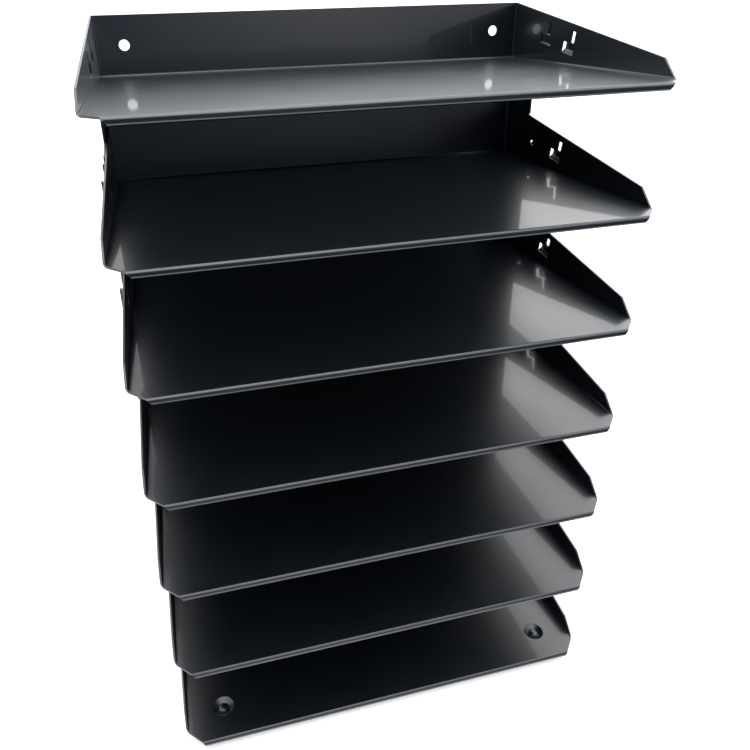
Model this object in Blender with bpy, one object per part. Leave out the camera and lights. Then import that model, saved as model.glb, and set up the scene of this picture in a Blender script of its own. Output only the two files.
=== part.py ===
"""A desk file sorter: seven black steel trays stacked straight up, each standing on the one below.

Every tray is folded from one sheet. The six upper trays each have a riser spot-welded round their
rear: a second folded sheet that wraps the back of the tray below. The riser's two arms stand in that
tray's rear pockets, so a tray lifts straight off. The top tray's rear pockets stay empty and are
pressed shut. The bottom tray stands on four rubber feet.

A tray is drawn in its own frame, in millimetres: x from its middle, y back from the front of its
lip, z up from the top of its floor.
"""

import math

import bmesh
import bpy
from mathutils import Vector

MM = 0.001
CLEARANCE = 0.3  # left between separate pieces

# The stack
TRAY_COUNT = 7
TRAY_PITCH = 70.2

# One tray
HALF_WIDTH = 152.4
DEPTH = 192.5
BACK_HEIGHT = 37.5
SHEET = 1.2
BEND_RADIUS = 2.0  # outside radius of the folds between floor, sides and back
TIP_Y = 12.6  # where a side's front end meets the underside of the floor
KNEE = (24.5, 9.9)  # y, z where a side's front chamfer turns into its long slope
CORNER_CUT = 0.95  # how far the floor's front corners narrow, per mm towards the lip's free edge
RIM_SLOPE = math.atan2(BACK_HEIGHT - KNEE[1], DEPTH - KNEE[0])

# The lip along the front, folded over in three turns
LIP_RADIUS = 1.5  # outside
LIP_FOLDS = ((45, 0.45), (45, 0.8), (90, 0.0))  # each turn in degrees, and the flat that follows it
LIP_STEP = 15  # degrees
LIP_START = LIP_RADIUS + LIP_FOLDS[0][1] * math.cos(math.radians(LIP_FOLDS[0][0]))

# The two holes in the top tray's back that the stack can hang by
HANG_HOLE_X = 133.0
HANG_HOLE_Z = 19.0
HANG_HOLE_RADIUS = 3.5

# The pockets pressed out of each side, square to its sloping rim: a window with a narrow slot above
# its front end, and a tongue of the same outline standing on a ledge outside it
WINDOW_LENGTH = 14.2
WINDOW_HEIGHT = 6.8
SLOT_START = 0.8
SLOT_WIDTH = 4.5
SLOT_HEIGHT = 14.5
TONGUE_FOOT = -0.5
TONGUE_HEIGHT = 6.4
LEDGE_INSET = 0.2  # how much narrower a ledge is than its tongue, at each end
LEDGE_TOP = -0.2  # a ledge starts just below its window's edge
LEDGE_DEPTH = 1.5  # its thickness, measured square to the rim
LEDGE_CLIMB = 2.9  # how far it climbs on its way out to the tongue
FRONT_POCKET = (112.2, 5.3)  # y, z of the window's lower front corner
POCKET_SPACING = 28.0
REAR_POCKET = (
    FRONT_POCKET[0] + POCKET_SPACING,
    FRONT_POCKET[1] + POCKET_SPACING * math.tan(RIM_SLOPE),
)
# x of a tongue's inner face, how much narrower its finger is than the slot on each side, and the
# finger's height: standing out with room for an arm, and pressed shut
OPEN_POCKET = (HALF_WIDTH + SHEET + 2 * CLEARANCE, 0.7, 12.2)
SHUT_POCKET = (HALF_WIDTH - CLEARANCE, CLEARANCE, SLOT_HEIGHT - CLEARANCE)

# The rear risers
RISER_SIDE = HALF_WIDTH + CLEARANCE + SHEET
RISER_BACK = DEPTH + CLEARANCE + SHEET
RISER_FRONT = 161.0
RISER_LAP = 12.5  # how far a riser laps up its own tray
ARM_FRONT = REAR_POCKET[0]  # y of the arm's lower front corner; its front edge is square to the rim
ARM_ABOVE_WINDOW = 2.1  # the arm's lower edge, over its window's lower edge and just clear of the ledge
ARM_BELOW_RIM = 1.1
RELIEF = 1.2  # the notch where the arm's top edge meets the neck's front edge

# The feet under the bottom tray
FOOT_X = 125.0
FOOT_YS = {"front": 24.5, "rear": 167.0}
DIMPLE_RADIUS = 7.6
DIMPLE_FLAT = 4.0
DIMPLE_DEPTH = 2.6
SCREW_HOLE = 2.2
SCREW_RADIUS = 1.9
SCREW_HEAD = 3.6
FOOT_RADIUS = 10.0
FOOT_BOTTOM = -9.0
ROUND_STEPS = 24

# The whole object stands on z = 0, with its middle on the origin.
FRONT_Y = -RISER_BACK / 2
BOTTOM_FLOOR_Z = -FOOT_BOTTOM

SIDES = {"left": -1, "right": 1}


def material(name, colour, metallic, roughness):
    """Makes a plain Principled material."""
    made = bpy.data.materials.new(name)
    made.use_nodes = True
    shader = made.node_tree.nodes["Principled BSDF"]
    shader.inputs["Base Color"].default_value = (*colour, 1.0)
    shader.inputs["Metallic"].default_value = metallic
    shader.inputs["Roughness"].default_value = roughness
    return made


def object_from(name, bm):
    """Links a new object that holds the given bmesh."""
    mesh = bpy.data.meshes.new(name)
    bm.to_mesh(mesh)
    bm.free()
    made = bpy.data.objects.new(name, mesh)
    bpy.context.collection.objects.link(made)
    return made


def prism(name, outline, low, high, climb=0):
    """Makes a closed prism: the (y, z) outline run along x from low to high, climbing by this much."""
    bm = bmesh.new()
    start = [bm.verts.new(Vector((low, y, z)) * MM) for y, z in outline]
    end = [bm.verts.new(Vector((high, y, z + climb)) * MM) for y, z in outline]
    bm.faces.new(start)
    bm.faces.new(reversed(end))
    for i in range(len(outline)):
        bm.faces.new((start[i - 1], end[i - 1], end[i], start[i]))
    bmesh.ops.recalc_face_normals(bm, faces=bm.faces)
    return object_from(name, bm)


def turned(name, profile, steps):
    """Makes a closed solid of revolution about z from a ring of (radius, z) points, none on the axis."""
    bm = bmesh.new()
    rings = []
    for step in range(steps):
        angle = math.tau * step / steps
        across = Vector((math.cos(angle), math.sin(angle), 0))
        rings.append([bm.verts.new((across * r + Vector((0, 0, z))) * MM) for r, z in profile])
    for this, following in zip(rings, rings[1:] + rings[:1]):
        for i in range(len(profile)):
            bm.faces.new((this[i - 1], following[i - 1], following[i], this[i]))
    bmesh.ops.recalc_face_normals(bm, faces=bm.faces)
    return object_from(name, bm)


def spindle(name, profile, steps):
    """Makes a closed solid of revolution about z from (radius, z) points that run from end to end."""
    bm = bmesh.new()
    rings = []
    for radius, z in profile:
        ring = []
        for step in range(steps):
            angle = math.tau * step / steps
            ring.append(bm.verts.new(Vector((radius * math.cos(angle), radius * math.sin(angle), z)) * MM))
        rings.append(ring)
    for this, following in zip(rings, rings[1:]):
        for i in range(steps):
            bm.faces.new((this[i - 1], this[i], following[i], following[i - 1]))
    bm.faces.new(rings[0])
    bm.faces.new(rings[-1])
    bmesh.ops.recalc_face_normals(bm, faces=bm.faces)
    return object_from(name, bm)


def settle(obj):
    """Replaces an object's mesh by the one its modifiers make."""
    graph = bpy.context.evaluated_depsgraph_get()
    shaped = bpy.data.meshes.new_from_object(obj.evaluated_get(graph))
    obj.modifiers.clear()
    obj.data = shaped


def combine(obj, operation, tool):
    """Cuts the tool from the object, or adds it on, and removes the tool."""
    modifier = obj.modifiers.new("Combine", "BOOLEAN")
    modifier.operation = operation
    modifier.solver = "EXACT"
    modifier.object = tool
    settle(obj)
    bpy.data.objects.remove(tool)


def round_folds(bm, folds):
    """Rounds these folds, each given as its two vertices, to the bend radius of the sheet's outside."""
    edges = [bm.edges.get(fold) for fold in folds]
    bmesh.ops.bevel(
        bm, geom=edges, offset=BEND_RADIUS * MM, segments=3, profile=0.5, affect="EDGES"
    )


def thicken(skin):
    """Gives an open sheet its thickness, on the inside of its faces."""
    solidify = skin.modifiers.new("Sheet", "SOLIDIFY")
    solidify.thickness = SHEET * MM
    solidify.offset = -1
    solidify.use_even_offset = True
    settle(skin)


def rim_height(y):
    """The height of a side's sloping top edge at this y."""
    return KNEE[1] + (y - KNEE[0]) * (BACK_HEIGHT - KNEE[1]) / (DEPTH - KNEE[0])


def lip_rows():
    """The underside of the lip, from the floor round to its free edge: half width, y, z of each row."""
    step = math.radians(LIP_STEP)
    chord = 2 * (LIP_RADIUS - SHEET) * math.sin(step / 2)
    arc = (LIP_RADIUS - SHEET / 2) * step
    moves = []  # each stretch's direction below level, its length along the underside and along mid-sheet
    heading = 0.0
    for turn, flat in LIP_FOLDS:
        for _ in range(turn // LIP_STEP):
            moves.append((heading + step / 2, chord, arc))
            heading += step
        if flat:
            moves.append((heading, flat, flat))

    y, z, run = LIP_START, -SHEET, TIP_Y - LIP_START
    rows = [(HALF_WIDTH - CORNER_CUT * run, y, z)]
    for direction, length, flattened in moves:
        y -= length * math.cos(direction)
        z -= length * math.sin(direction)
        run += flattened
        rows.append((HALF_WIDTH - CORNER_CUT * run, y, z))
    return rows


def tray_skin():
    """The outside and underside of a tray as one open sheet, its faces turned down and out."""
    bm = bmesh.new()

    def corner(x, y, z):
        return bm.verts.new(Vector((x, y, z)) * MM)

    rows = [(corner(-x, y, z), corner(x, y, z)) for x, y, z in lip_rows()]
    tips = [corner(side * HALF_WIDTH, TIP_Y, -SHEET) for side in (-1, 1)]
    knees = [corner(side * HALF_WIDTH, *KNEE) for side in (-1, 1)]
    heels = [corner(side * HALF_WIDTH, DEPTH, -SHEET) for side in (-1, 1)]
    tops = [corner(side * HALF_WIDTH, DEPTH, BACK_HEIGHT) for side in (-1, 1)]

    bm.faces.new((rows[0][0], tips[0], heels[0], heels[1], tips[1], rows[0][1]))
    bm.faces.new((heels[0], tops[0], tops[1], heels[1]))
    bm.faces.new((tips[0], knees[0], tops[0], heels[0]))
    bm.faces.new((heels[1], tops[1], knees[1], tips[1]))
    for (left, right), (left_on, right_on) in zip(rows, rows[1:]):
        bm.faces.new((left_on, left, right, right_on))

    folds = [(heels[0], heels[1])]
    for i in (0, 1):
        folds += [(tips[i], heels[i]), (heels[i], tops[i])]
    round_folds(bm, folds)
    return object_from("tray_skin", bm)


def along_rim(corner, outline):
    """Turns points measured along and square to the sloping rim, from a pocket's corner, into (y, z)."""
    along, across = math.cos(RIM_SLOPE), math.sin(RIM_SLOPE)
    y, z = corner
    return [(y + u * along - v * across, z + u * across + v * along) for u, v in outline]


def pocket_outline(gap, finger_gap, bottom, shoulder, top):
    """A pocket's outline from its lower front corner: a bar with a finger above its front end."""
    finger = (SLOT_START + finger_gap, SLOT_START + SLOT_WIDTH - finger_gap)
    return [
        (gap, bottom),
        (WINDOW_LENGTH - gap, bottom),
        (WINDOW_LENGTH - gap, shoulder),
        (finger[1], shoulder),
        (finger[1], top),
        (finger[0], top),
        (finger[0], shoulder),
        (gap, shoulder),
    ]


def cut_window(made, side, corner):
    """Cuts a pocket's window and slot through a side."""
    outline = along_rim(corner, pocket_outline(0, 0, 0, WINDOW_HEIGHT, SLOT_HEIGHT))
    through = (side * (HALF_WIDTH - 3), side * (HALF_WIDTH + 3))
    combine(made, "DIFFERENCE", prism("window", outline, *through))


def add_tongue(made, side, corner, inner, finger_gap, finger_height):
    """Stands a pocket's tongue outside its window, on a ledge that climbs out to it from the side."""
    outline = pocket_outline(CLEARANCE, finger_gap, TONGUE_FOOT, TONGUE_HEIGHT, finger_height)
    outer = inner + SHEET
    tongue = prism("tongue", along_rim(corner, outline), side * inner, side * outer)
    front, rear = CLEARANCE + LEDGE_INSET, WINDOW_LENGTH - CLEARANCE - LEDGE_INSET
    under = LEDGE_TOP - LEDGE_DEPTH
    ledge = along_rim(corner, [(front, under), (rear, under), (rear, LEDGE_TOP), (front, LEDGE_TOP)])
    reach = (side * (HALF_WIDTH - SHEET * 0.8), side * (outer - SHEET * 0.2))
    combine(tongue, "UNION", prism("ledge", ledge, *reach, LEDGE_CLIMB))
    combine(made, "UNION", tongue)


def tray(rear_pocket):
    """One folded tray: floor, back, sides with their pockets, and the lip."""
    made = tray_skin()
    thicken(made)
    for side in (-1, 1):
        for corner, pocket in ((FRONT_POCKET, OPEN_POCKET), (REAR_POCKET, rear_pocket)):
            cut_window(made, side, corner)
            add_tongue(made, side, corner, *pocket)
    return made


def drill_hanging_holes(made):
    """Cuts the two round holes in a tray's back."""
    for side in (-1, 1):
        drill = spindle("drill", [(HANG_HOLE_RADIUS, -3), (HANG_HOLE_RADIUS, 3)], ROUND_STEPS)
        drill.rotation_euler.x = math.pi / 2
        drill.location = Vector((side * HANG_HOLE_X, DEPTH - SHEET / 2, HANG_HOLE_Z)) * MM
        bpy.context.view_layer.update()
        combine(made, "DIFFERENCE", drill)


def foot_places():
    """The name and (x, y) of each foot."""
    return {
        f"{end}_{name}": (side * FOOT_X, y)
        for end, y in FOOT_YS.items()
        for name, side in SIDES.items()
    }


def dimple(made, x, y):
    """Presses a dish for a foot's screw down into a tray's floor."""
    slope = (DIMPLE_RADIUS - DIMPLE_FLAT) / DIMPLE_DEPTH
    under = DIMPLE_RADIUS + SHEET * 0.7
    pressed = [(under + 0.4 * slope, -SHEET + 0.4), (under - DIMPLE_DEPTH * slope, -SHEET - DIMPLE_DEPTH)]
    hollow = [(DIMPLE_RADIUS + slope, 1), (DIMPLE_FLAT, -DIMPLE_DEPTH)]
    hole = [(SCREW_HOLE, 1), (SCREW_HOLE, -9)]
    for operation, profile in (("UNION", pressed), ("DIFFERENCE", hollow), ("DIFFERENCE", hole)):
        tool = spindle("dimple", profile, ROUND_STEPS)
        tool.location = Vector((x, y, 0)) * MM
        bpy.context.view_layer.update()
        combine(made, operation, tool)


def arm_edges(y):
    """The heights of an arm's lower and upper edges at this y, over the floor of the tray it stands in."""
    foot = REAR_POCKET[1] + (y - REAR_POCKET[0]) * math.tan(RIM_SLOPE) + ARM_ABOVE_WINDOW
    return foot, rim_height(y) - ARM_BELOW_RIM


def riser_outline():
    """A riser's side as (y, z), from the rear bottom up: the lap, the neck and the forward arm."""
    foot, top = arm_edges(RISER_FRONT)
    front_foot, front_top = arm_edges(ARM_FRONT)
    front_edge = (front_top - front_foot) * math.cos(RIM_SLOPE)
    arm = [
        (RISER_FRONT, top + RELIEF),
        (RISER_FRONT + RELIEF, top + RELIEF),
        (RISER_FRONT + RELIEF, top),
        *along_rim((ARM_FRONT, front_foot), [(0, front_edge), (0, 0)]),
        (RISER_FRONT, foot),
    ]
    lap = [(RISER_BACK, foot - TRAY_PITCH), (RISER_BACK, RISER_LAP), (RISER_FRONT, RISER_LAP)]
    return lap + [(y, z - TRAY_PITCH) for y, z in arm]


def riser():
    """One folded riser: a back between two sides, which lap round a tray and wrap the one below."""
    bm = bmesh.new()
    rings = []
    for side in (-1, 1):
        rings.append([bm.verts.new(Vector((side * RISER_SIDE, y, z)) * MM) for y, z in riser_outline()])
    left, right = rings
    bm.faces.new(reversed(left))
    bm.faces.new(right)
    bm.faces.new((left[0], left[1], right[1], right[0]))
    round_folds(bm, [(ring[0], ring[1]) for ring in rings])
    made = object_from("riser_skin", bm)
    thicken(made)
    return made


def foot():
    """A tapered rubber foot, dished on top to fit under a dimple and hollowed below for the screw's end."""
    top = -SHEET - CLEARANCE
    dish = top - DIMPLE_DEPTH
    return turned(
        "foot",
        [
            (SCREW_RADIUS + CLEARANCE, dish),
            (DIMPLE_FLAT + 1.2, dish),
            (DIMPLE_RADIUS + 1.4, top),
            (FOOT_RADIUS, top),
            (FOOT_RADIUS, top - 1.5),
            (FOOT_RADIUS - 1.5, FOOT_BOTTOM + 0.6),
            (FOOT_RADIUS - 2.1, FOOT_BOTTOM),
            (SCREW_HEAD + 0.8, FOOT_BOTTOM),
            (SCREW_HEAD + 0.5, FOOT_BOTTOM + 2.0),
            (SCREW_RADIUS + CLEARANCE, FOOT_BOTTOM + 2.0),
        ],
        ROUND_STEPS,
    )


def foot_screw():
    """The domed screw that holds a foot, its head in the dimple."""
    seat = CLEARANCE - DIMPLE_DEPTH
    return spindle(
        "foot_screw",
        [
            (SCREW_RADIUS, FOOT_BOTTOM + 1.2),
            (SCREW_RADIUS, seat),
            (SCREW_HEAD, seat),
            (SCREW_HEAD, seat + 0.7),
            (SCREW_HEAD * 0.86, seat + 1.4),
            (SCREW_HEAD * 0.55, seat + 1.9),
            (SCREW_HEAD * 0.2, seat + 2.1),
        ],
        ROUND_STEPS,
    )


def place(name, mesh, paint, x, y, floor_z):
    """Adds a named copy of a shape that was drawn in a tray's frame."""
    made = bpy.data.objects.new(name, mesh)
    made.location = Vector((x, FRONT_Y + y, BOTTOM_FLOOR_Z + floor_z)) * MM
    bpy.context.collection.objects.link(made)
    if not mesh.materials:
        mesh.materials.append(paint)
    return made


def mesh_of(obj):
    """Keeps an object's mesh and removes the object."""
    mesh = obj.data
    bpy.data.objects.remove(obj)
    return mesh


def build():
    for obj in list(bpy.data.objects):
        bpy.data.objects.remove(obj)

    paint = material("black_paint", (0.012, 0.014, 0.018), 0.0, 0.28)
    rubber = material("black_rubber", (0.02, 0.02, 0.02), 0.0, 0.8)
    zinc = material("zinc_plate", (0.10, 0.105, 0.11), 1.0, 0.35)

    top = tray(SHUT_POCKET)
    drill_hanging_holes(top)
    middle_mesh = mesh_of(tray(OPEN_POCKET))
    bottom = tray(OPEN_POCKET)
    for x, y in foot_places().values():
        dimple(bottom, x, y)
    place("tray_1", mesh_of(top), paint, 0, 0, TRAY_PITCH * (TRAY_COUNT - 1))
    place(f"tray_{TRAY_COUNT}", mesh_of(bottom), paint, 0, 0, 0)

    riser_mesh = mesh_of(riser())
    for number in range(1, TRAY_COUNT):
        floor_z = TRAY_PITCH * (TRAY_COUNT - number)
        place(f"rear_riser_{number}", riser_mesh, paint, 0, 0, floor_z)
        if number > 1:
            place(f"tray_{number}", middle_mesh, paint, 0, 0, floor_z)

    foot_mesh = mesh_of(foot())
    screw_mesh = mesh_of(foot_screw())
    for name, (x, y) in foot_places().items():
        place(f"foot_{name}", foot_mesh, rubber, x, y, 0)
        place(f"foot_screw_{name}", screw_mesh, zinc, x, y, 0)


build()
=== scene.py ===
"""The desk file sorter's looks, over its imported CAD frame: black powder coat, rubber feet, black screws."""

import math

import bpy
from mathutils import Matrix, Vector

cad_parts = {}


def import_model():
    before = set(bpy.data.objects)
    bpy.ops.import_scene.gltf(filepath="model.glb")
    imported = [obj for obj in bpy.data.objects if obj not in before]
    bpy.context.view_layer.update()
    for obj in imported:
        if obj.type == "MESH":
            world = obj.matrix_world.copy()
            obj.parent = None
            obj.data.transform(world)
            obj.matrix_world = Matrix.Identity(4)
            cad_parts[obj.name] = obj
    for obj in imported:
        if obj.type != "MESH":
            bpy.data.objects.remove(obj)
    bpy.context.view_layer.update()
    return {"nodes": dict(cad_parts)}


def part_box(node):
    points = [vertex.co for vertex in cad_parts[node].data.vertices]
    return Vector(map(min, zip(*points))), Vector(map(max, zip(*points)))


MM = 0.001
RISER_LAP = 12.5 * MM  # how far a riser laps up above its own tray's floor
SMOOTH_BELOW = math.radians(32)  # folds up to this sharp are shaded smooth

# Rounded edges of the paint, and the painted highlight along them
EDGE_RADIUS = 0.35 * MM
EDGE_LEAN = (0.995, 0.86)  # cosine of the rounded normal's lean, where the painted edge highlight begins and where it is full

# The camera, measured from the top tray: its place relative to the middle of the lip's front edge
CAMERA_FROM_TOP_LIP = Vector((-117.65, -308.4, 41.7)) * MM
CAMERA_YAW = math.radians(13.06)
CAMERA_DOWN = math.radians(25.63)
CAMERA_ROLL = math.radians(-1.64)
CAMERA_LENS = 32.2
CAMERA_SHIFT = (0.0669, -0.0686)

FLOOR_REACH = 6.0
FLOOR_GLOW = 0.45

# The surround's colours
FRONT_DARK = (0.05, 0.09, 0.15)
FRONT_GLOW = (1.35, 1.36, 1.42)
FRONT_HIGH = (1.4, 1.44, 1.52)
FRONT_LOW = (1.7, 1.72, 1.75)
BACK_LEFT = (1.3, 1.32, 1.34)
BACK_RIGHT = (1.8, 1.81, 1.82)
BACK_HIGH = (0.8, 0.81, 0.82)
BRIGHTEST = (3.2, 3.25, 3.3)

# Where each of them fades in, along a direction's x to the right, y to the back or z upwards:
# none at the first value and all of it at the second
GLOW_FROM_LEFT = (-0.12, 0.2)
GLOW_FROM_RIGHT = (0.8, 0.3)
GLOW_FROM_BELOW = (-0.10, -0.01)
GLOW_FROM_ABOVE = (0.10, 0.0)
UP_IN_FRONT = (0.40, 0.65)
DOWN_IN_FRONT = (-0.4, -0.9)
RIGHT_BEHIND = (-0.25, 0.1)
UP_BEHIND = (0.42, 0.62)
BEHIND = (-0.35, 0.2)
RIGHT_SIDE = (-0.15, 0.2)
RIGHT_SIDE_UP = (0.1, 0.5)
RIGHT_SIDE_SHARE = 0.5  # of the brightest colour, at the right
OVERHEAD = (0.75, 0.95)


def new_material(name):
    """Makes an empty node material and returns it with its node tree and its Principled shader."""
    material = bpy.data.materials.new(name)
    material.use_nodes = True
    tree = material.node_tree
    return material, tree, tree.nodes["Principled BSDF"]


def node(tree, kind, inputs=None, **settings):
    """Adds a node with these settings, and these values or links on its inputs."""
    made = tree.nodes.new(kind)
    for key, value in settings.items():
        setattr(made, key, value)
    for key, value in (inputs or {}).items():
        if isinstance(value, bpy.types.NodeSocket):
            tree.links.new(value, made.inputs[key])
        else:
            made.inputs[key].default_value = value
    return made


def set_values(shader, values):
    """Sets constant values on a shader's own sockets."""
    for name, value in values.items():
        shader.inputs[name].default_value = value


def own_place(tree):
    """The place on the object, in its own coordinates."""
    return node(tree, "ShaderNodeTexCoord").outputs["Object"]


def noise(tree, place, scale, detail, roughness=0.5):
    """Noise over the object's own coordinates, with this many features per metre."""
    made = node(
        tree,
        "ShaderNodeTexNoise",
        {"Vector": place, "Scale": scale, "Detail": detail, "Roughness": roughness},
    )
    return made.outputs["Fac"]


def bump(tree, height, strength, distance, normal=None):
    """A normal roughened by this height, over a given normal or the surface's own."""
    inputs = {"Height": height, "Strength": strength, "Distance": distance}
    if normal is not None:
        inputs["Normal"] = normal
    return node(tree, "ShaderNodeBump", inputs).outputs["Normal"]


def remap(tree, value, low, high, to_low, to_high):
    """Maps value from low..high to to_low..to_high, and holds it there."""
    made = node(
        tree,
        "ShaderNodeMapRange",
        {0: value, 1: low, 2: high, 3: to_low, 4: to_high},
        clamp=True,
    )
    return made.outputs["Result"]


def fade(tree, value, span):
    """Goes from 0 to 1 as value goes from the span's first end to its second."""
    return remap(tree, value, *span, 0.0, 1.0)


def product(tree, first, second):
    """Multiplies two values."""
    return node(tree, "ShaderNodeMath", {0: first, 1: second}, operation="MULTIPLY").outputs[0]


def mix_colour(tree, factor, first, second):
    """Blends two colours."""
    made = node(tree, "ShaderNodeMix", data_type="RGBA")
    tree.links.new(factor, made.inputs["Factor"])
    for socket, colour in ((made.inputs[6], first), (made.inputs[7], second)):
        if isinstance(colour, bpy.types.NodeSocket):
            tree.links.new(colour, socket)
        else:
            socket.default_value = (*colour, 1.0)
    return made.outputs[2]


def painted_edge_highlight(tree, rounded):
    """The painted edge highlight's mask: 1 along sharp edges and 0 on flat faces, from how far a rounded
    normal leans away.
    """
    geometry = node(tree, "ShaderNodeNewGeometry")
    lean = node(
        tree,
        "ShaderNodeVectorMath",
        {0: rounded, 1: geometry.outputs["Normal"]},
        operation="DOT_PRODUCT",
    )
    return fade(tree, lean.outputs["Value"], EDGE_LEAN)


def paint_colour(tree, place, rounded):
    """The paint's colour: clouded black, with a painted highlight along sharp edges, and a few dust specks.
    """
    clouds = noise(tree, place, scale=9.0, detail=3.0)
    black = mix_colour(tree, clouds, (0.0015, 0.0035, 0.0065), (0.0025, 0.0050, 0.0085))
    # painted edge highlight: a paler colour along every sharp edge, convex or concave
    edge_lit = mix_colour(tree, painted_edge_highlight(tree, rounded), black, (0.035, 0.038, 0.043))
    specks = remap(tree, noise(tree, place, scale=800.0, detail=0.0), 0.84, 0.90, 0.0, 0.5)
    return mix_colour(tree, specks, edge_lit, (0.020, 0.021, 0.023))


def black_powder_coat():
    """Semi-gloss black paint on steel: a crisp thin coat over a softer, faintly uneven base."""
    material, tree, shader = new_material("semi_gloss_black_paint")
    place = own_place(tree)
    rounded = node(tree, "ShaderNodeBevel", {"Radius": EDGE_RADIUS}, samples=6).outputs["Normal"]
    tree.links.new(paint_colour(tree, place, rounded), shader.inputs["Base Color"])

    smears = noise(tree, place, scale=24.0, detail=4.0, roughness=0.6)
    tree.links.new(remap(tree, smears, 0.3, 0.75, 0.28, 0.34), shader.inputs["Roughness"])
    set_values(
        shader,
        {
            "IOR": 1.5,
            "Specular IOR Level": 1.0,
            "Coat Weight": 0.45,
            "Coat Roughness": 0.045,
            "Sheen Weight": 0.09,
            "Sheen Roughness": 0.4,
            "Sheen Tint": (0.75, 0.88, 1.0, 1.0),
        },
    )

    orange_peel = noise(tree, place, scale=420.0, detail=2.0)
    uneven = bump(tree, orange_peel, strength=0.03, distance=0.02 * MM, normal=rounded)
    tree.links.new(uneven, shader.inputs["Normal"])
    tree.links.new(rounded, shader.inputs["Coat Normal"])
    return material


def moulded_rubber():
    """Matte black rubber with a fine mould grain and pale dust."""
    material, tree, shader = new_material("moulded_rubber")
    place = own_place(tree)
    dust = noise(tree, place, scale=300.0, detail=4.0)
    dusty = fade(tree, dust, (0.5, 0.8))
    colour = mix_colour(tree, dusty, (0.012, 0.012, 0.012), (0.05, 0.05, 0.048))
    tree.links.new(colour, shader.inputs["Base Color"])
    tree.links.new(remap(tree, dust, 0.3, 0.7, 0.62, 0.85), shader.inputs["Roughness"])
    grain = noise(tree, place, scale=2200.0, detail=3.0)
    tree.links.new(bump(tree, grain, strength=0.35, distance=0.1 * MM), shader.inputs["Normal"])
    return material


def black_zinc_plate():
    """Black zinc plate with a faint grain and rubbed, paler patches."""
    material, tree, shader = new_material("black_zinc_plate")
    place = own_place(tree)
    patches = noise(tree, place, scale=500.0, detail=3.0)
    colour = mix_colour(tree, patches, (0.045, 0.047, 0.052), (0.16, 0.165, 0.175))
    tree.links.new(colour, shader.inputs["Base Color"])
    set_values(shader, {"Metallic": 1.0})
    tree.links.new(remap(tree, patches, 0.3, 0.7, 0.22, 0.42), shader.inputs["Roughness"])
    grain = noise(tree, place, scale=4000.0, detail=2.0)
    tree.links.new(bump(tree, grain, strength=0.2, distance=0.02 * MM), shader.inputs["Normal"])
    return material


def paint(obj, material):
    """Puts one material on a CAD node."""
    obj.data.materials.clear()
    obj.data.materials.append(material)


def finish_nodes(nodes):
    """Gives every CAD node its finished material and smooth folds."""
    coat = black_powder_coat()
    finishes = {
        "tray": coat,
        "rear_riser": coat,
        "foot_screw": black_zinc_plate(),
        "foot": moulded_rubber(),
    }
    for name, obj in nodes.items():
        kind = next(key for key in finishes if name.startswith(key))
        paint(obj, finishes[kind])
        obj.data.shade_smooth()
        obj.data.set_sharp_from_angle(angle=SMOOTH_BELOW)


def look_matrix():
    """The camera's turn: along its yaw, tipped down, then rolled."""
    forward = Vector(
        (
            math.sin(CAMERA_YAW) * math.cos(CAMERA_DOWN),
            math.cos(CAMERA_YAW) * math.cos(CAMERA_DOWN),
            -math.sin(CAMERA_DOWN),
        )
    )
    level = Vector((math.cos(CAMERA_YAW), -math.sin(CAMERA_YAW), 0))
    upright = level.cross(forward)
    right = math.cos(CAMERA_ROLL) * level + math.sin(CAMERA_ROLL) * upright
    up = math.cos(CAMERA_ROLL) * upright - math.sin(CAMERA_ROLL) * level
    return Matrix((right, up, -forward)).transposed()


def add_camera(top_lip):
    """Sets the photograph's view: close above the top tray, looking down at the stack."""
    data = bpy.data.cameras.new("camera")
    data.sensor_width = 36
    data.lens = CAMERA_LENS
    data.shift_x, data.shift_y = CAMERA_SHIFT
    data.clip_start = 0.01
    camera = bpy.data.objects.new("camera", data)
    camera.matrix_world = Matrix.Translation(top_lip + CAMERA_FROM_TOP_LIP) @ look_matrix().to_4x4()
    bpy.context.scene.collection.objects.link(camera)
    bpy.context.scene.camera = camera


def pale_floor_material():
    """A matte, almost white floor that glows a little, so that it stays pale."""
    material, tree, shader = new_material("pale_floor")
    grain = noise(tree, own_place(tree), scale=3.0, detail=2.0)
    colour = mix_colour(tree, grain, (0.86, 0.86, 0.86), (0.9, 0.9, 0.9))
    tree.links.new(colour, shader.inputs["Base Color"])
    white = (1.0, 1.0, 1.0, 1.0)
    set_values(shader, {"Roughness": 0.9, "Emission Color": white, "Emission Strength": FLOOR_GLOW})
    return material


def add_floor():
    """A plain pale floor under the feet, which the object neither mirrors nor is lit by."""
    mesh = bpy.data.meshes.new("floor")
    corners = [(x * FLOOR_REACH, y * FLOOR_REACH, 0) for x, y in ((-1, -1), (1, -1), (1, 1), (-1, 1))]
    mesh.from_pydata(corners, [], [(0, 1, 2, 3)])
    floor = bpy.data.objects.new("floor", mesh)
    bpy.context.scene.collection.objects.link(floor)
    floor.data.materials.append(pale_floor_material())
    floor.visible_glossy = False
    floor.visible_diffuse = False


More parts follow.
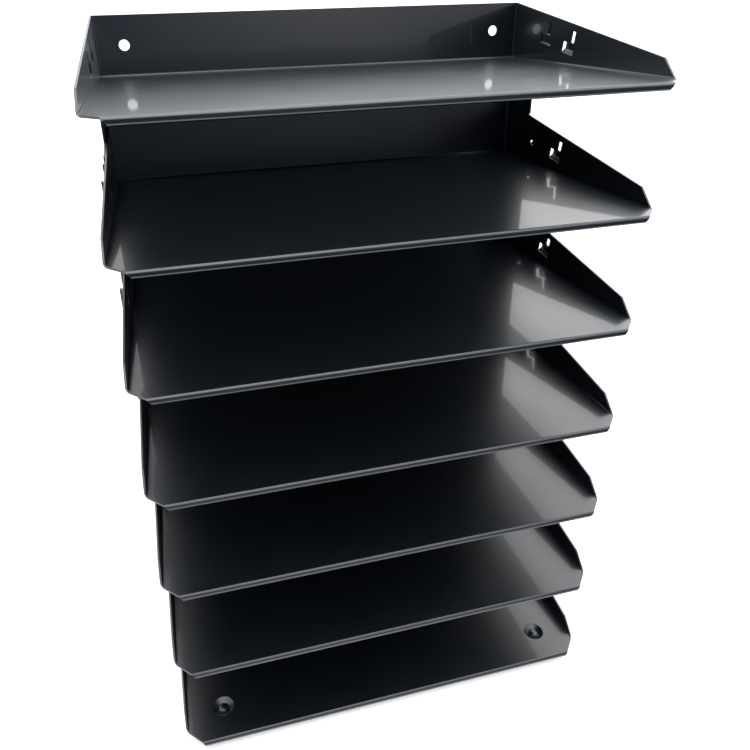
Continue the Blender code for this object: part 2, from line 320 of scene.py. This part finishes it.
def front_light(tree, x, z):
    """The light from in front: dark, with a soft glow ahead, and paler high up and low down."""
    glow = product(tree, fade(tree, x, GLOW_FROM_LEFT), fade(tree, x, GLOW_FROM_RIGHT))
    glow = product(tree, glow, fade(tree, z, GLOW_FROM_BELOW))
    glow = product(tree, glow, fade(tree, z, GLOW_FROM_ABOVE))
    colour = mix_colour(tree, glow, FRONT_DARK, FRONT_GLOW)
    colour = mix_colour(tree, fade(tree, z, UP_IN_FRONT), colour, FRONT_HIGH)
    return mix_colour(tree, fade(tree, z, DOWN_IN_FRONT), colour, FRONT_LOW)


def back_light(tree, x, z):
    """The light from behind: white, brighter towards the right and weaker high up."""
    colour = mix_colour(tree, fade(tree, x, RIGHT_BEHIND), BACK_LEFT, BACK_RIGHT)
    return mix_colour(tree, fade(tree, z, UP_BEHIND), colour, BACK_HIGH)


def light_scene():
    """A surround that is dark in front, white behind, and brightest overhead and high at the right."""
    bpy.context.scene.view_settings.view_transform = "Standard"
    world = bpy.data.worlds.new("studio")
    bpy.context.scene.world = world
    world.use_nodes = True
    tree = world.node_tree
    direction = node(tree, "ShaderNodeTexCoord").outputs["Generated"]
    split = node(tree, "ShaderNodeSeparateXYZ", {0: direction})
    x, y, z = (split.outputs[axis] for axis in "XYZ")

    behind = fade(tree, y, BEHIND)
    surround = mix_colour(tree, behind, front_light(tree, x, z), back_light(tree, x, z))
    right = product(tree, remap(tree, x, *RIGHT_SIDE, 0.0, RIGHT_SIDE_SHARE), fade(tree, z, RIGHT_SIDE_UP))
    right = product(tree, right, behind)
    overhead = fade(tree, z, OVERHEAD)
    boost = node(tree, "ShaderNodeMath", {0: right, 1: overhead}, operation="MAXIMUM").outputs[0]
    colour = mix_colour(tree, boost, surround, BRIGHTEST)
    tree.links.new(colour, tree.nodes["Background"].inputs["Color"])


def main():
    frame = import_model()
    nodes = frame["nodes"]

    finish_nodes(nodes)
    low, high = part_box("tray_1")
    floor_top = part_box("rear_riser_1")[1].z - RISER_LAP
    top_lip = Vector(((low.x + high.x) / 2, low.y, floor_top))
    add_camera(top_lip)
    add_floor()
    light_scene()


main()
